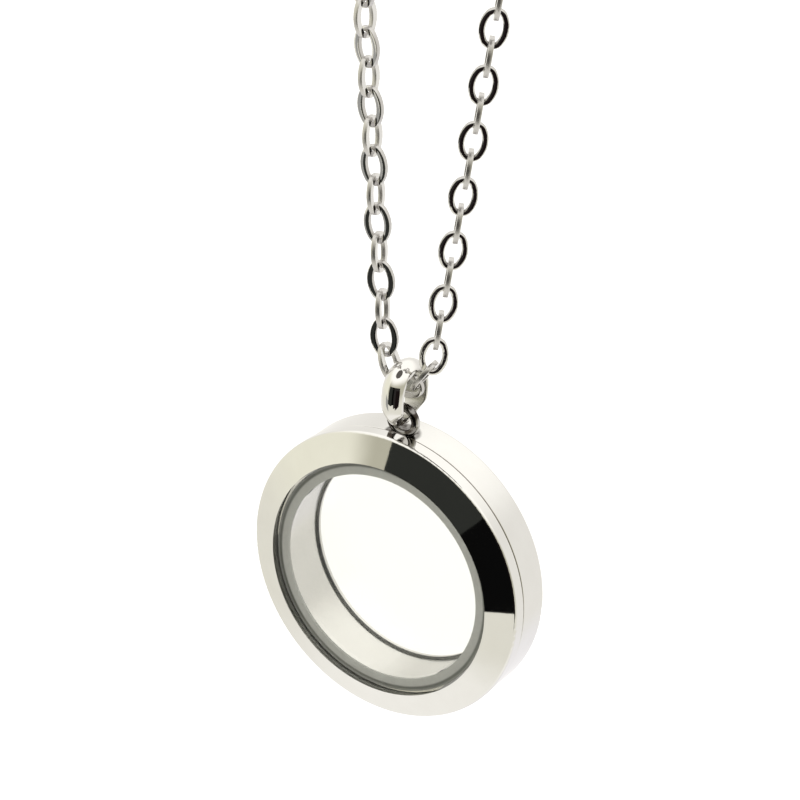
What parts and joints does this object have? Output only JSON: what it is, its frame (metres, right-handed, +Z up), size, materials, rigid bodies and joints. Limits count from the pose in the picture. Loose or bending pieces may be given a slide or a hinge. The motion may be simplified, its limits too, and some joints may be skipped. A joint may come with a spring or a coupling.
{
  "type": "floating locket necklace",
  "caption": "Round floating locket with two glass windows and a screw-on front bezel, hung by a domed bail from a closed cable chain.",
  "frame": {"origin": "underside of the clasp at the top of the chain loop, where the necklace hangs", "axes": "+Z up, -Y the front of the locket, +X to the right seen from the front"},
  "size_m": [0.0523, 0.0064, 0.2479],
  "materials": {
    "bezel_steel": "mirror-polished stainless steel",
    "front_window": "clear polished glass",
    "front_seal_grey": "grey satin seal",
    "case_steel": "mirror-polished stainless steel, satin inside",
    "back_seal_dark": "dark thin seal",
    "back_window": "clear polished glass",
    "bail_steel": "mirror-polished stainless steel",
    "chain_steel": "polished flat links",
    "clasp_steel": "polished steel",
    "ring_steel_left": "polished steel wire",
    "ring_steel_right": "polished steel wire"
  },
  "bodies": {
    "necklace": {"chain": "chain_steel", "clasp": "clasp_steel", "jump_ring_left": "ring_steel_left", "jump_ring_right": "ring_steel_right"},
    "bail": {"bail": "bail_steel"},
    "locket": {"back_case": "case_steel", "back_glass": "back_window", "back_seal": "back_seal_dark"},
    "lid_glass": {"front_glass": "front_window", "front_seal": "front_seal_grey"},
    "lid_bezel": {"front_bezel": "bezel_steel"}
  },
  "joints": [
    {"name": "bail_swing", "type": "hinge", "parent": "necklace", "child": "bail", "pos_m": [0, 0, -0.20816], "axis": [1, 0, 0], "range_deg": [-60, 60]},
    {"name": "locket_swing", "type": "hinge", "parent": "bail", "child": "locket", "pos_m": [0, 0, -0.21213], "axis": [0, 1, 0], "range_deg": [-50, 50]},
    {"name": "lid_lift", "type": "slide", "parent": "locket", "child": "lid_glass", "axis": [0, -1, 0], "range_m": [0, 0.00113]},
    {"name": "bezel_turn", "type": "hinge", "parent": "lid_glass", "child": "lid_bezel", "pos_m": [0, 0, -0.22845], "axis": [0, -1, 0], "range_deg": [0, 540]}
  ],
  "couplings": [
    {"joint": "lid_lift", "follows": "bezel_turn", "m_per_rad": 0.00011937}
  ]
}
